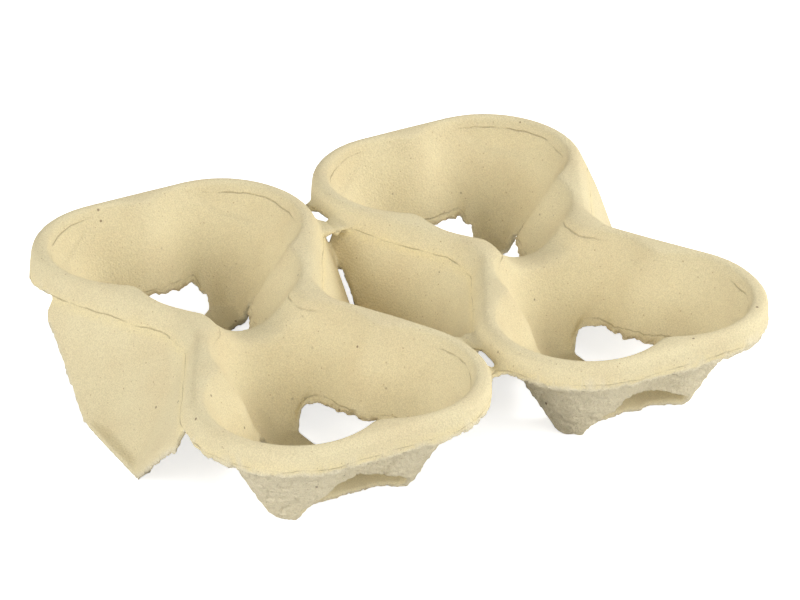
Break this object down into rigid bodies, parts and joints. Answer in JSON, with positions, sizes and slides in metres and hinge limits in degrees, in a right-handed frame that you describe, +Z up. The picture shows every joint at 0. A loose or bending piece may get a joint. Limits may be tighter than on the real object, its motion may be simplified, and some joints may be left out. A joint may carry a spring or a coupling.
{
  "type": "moulded-pulp cup carrier",
  "caption": "Moulded-pulp tray whose ribbed, three-cornered pockets grip takeaway cups; its halves part along a tear line.",
  "frame": {"origin": "middle of the carrier on the surface it stands on", "axes": "+Z up, +X across the tear line from one half to the other, +Y along the tear line"},
  "size_m": [0.215, 0.1802, 0.041],
  "materials": {
    "pulp": "matte"
  },
  "bodies": {
    "root": {"cup_carrier": "pulp"}
  },
  "joints": []
}
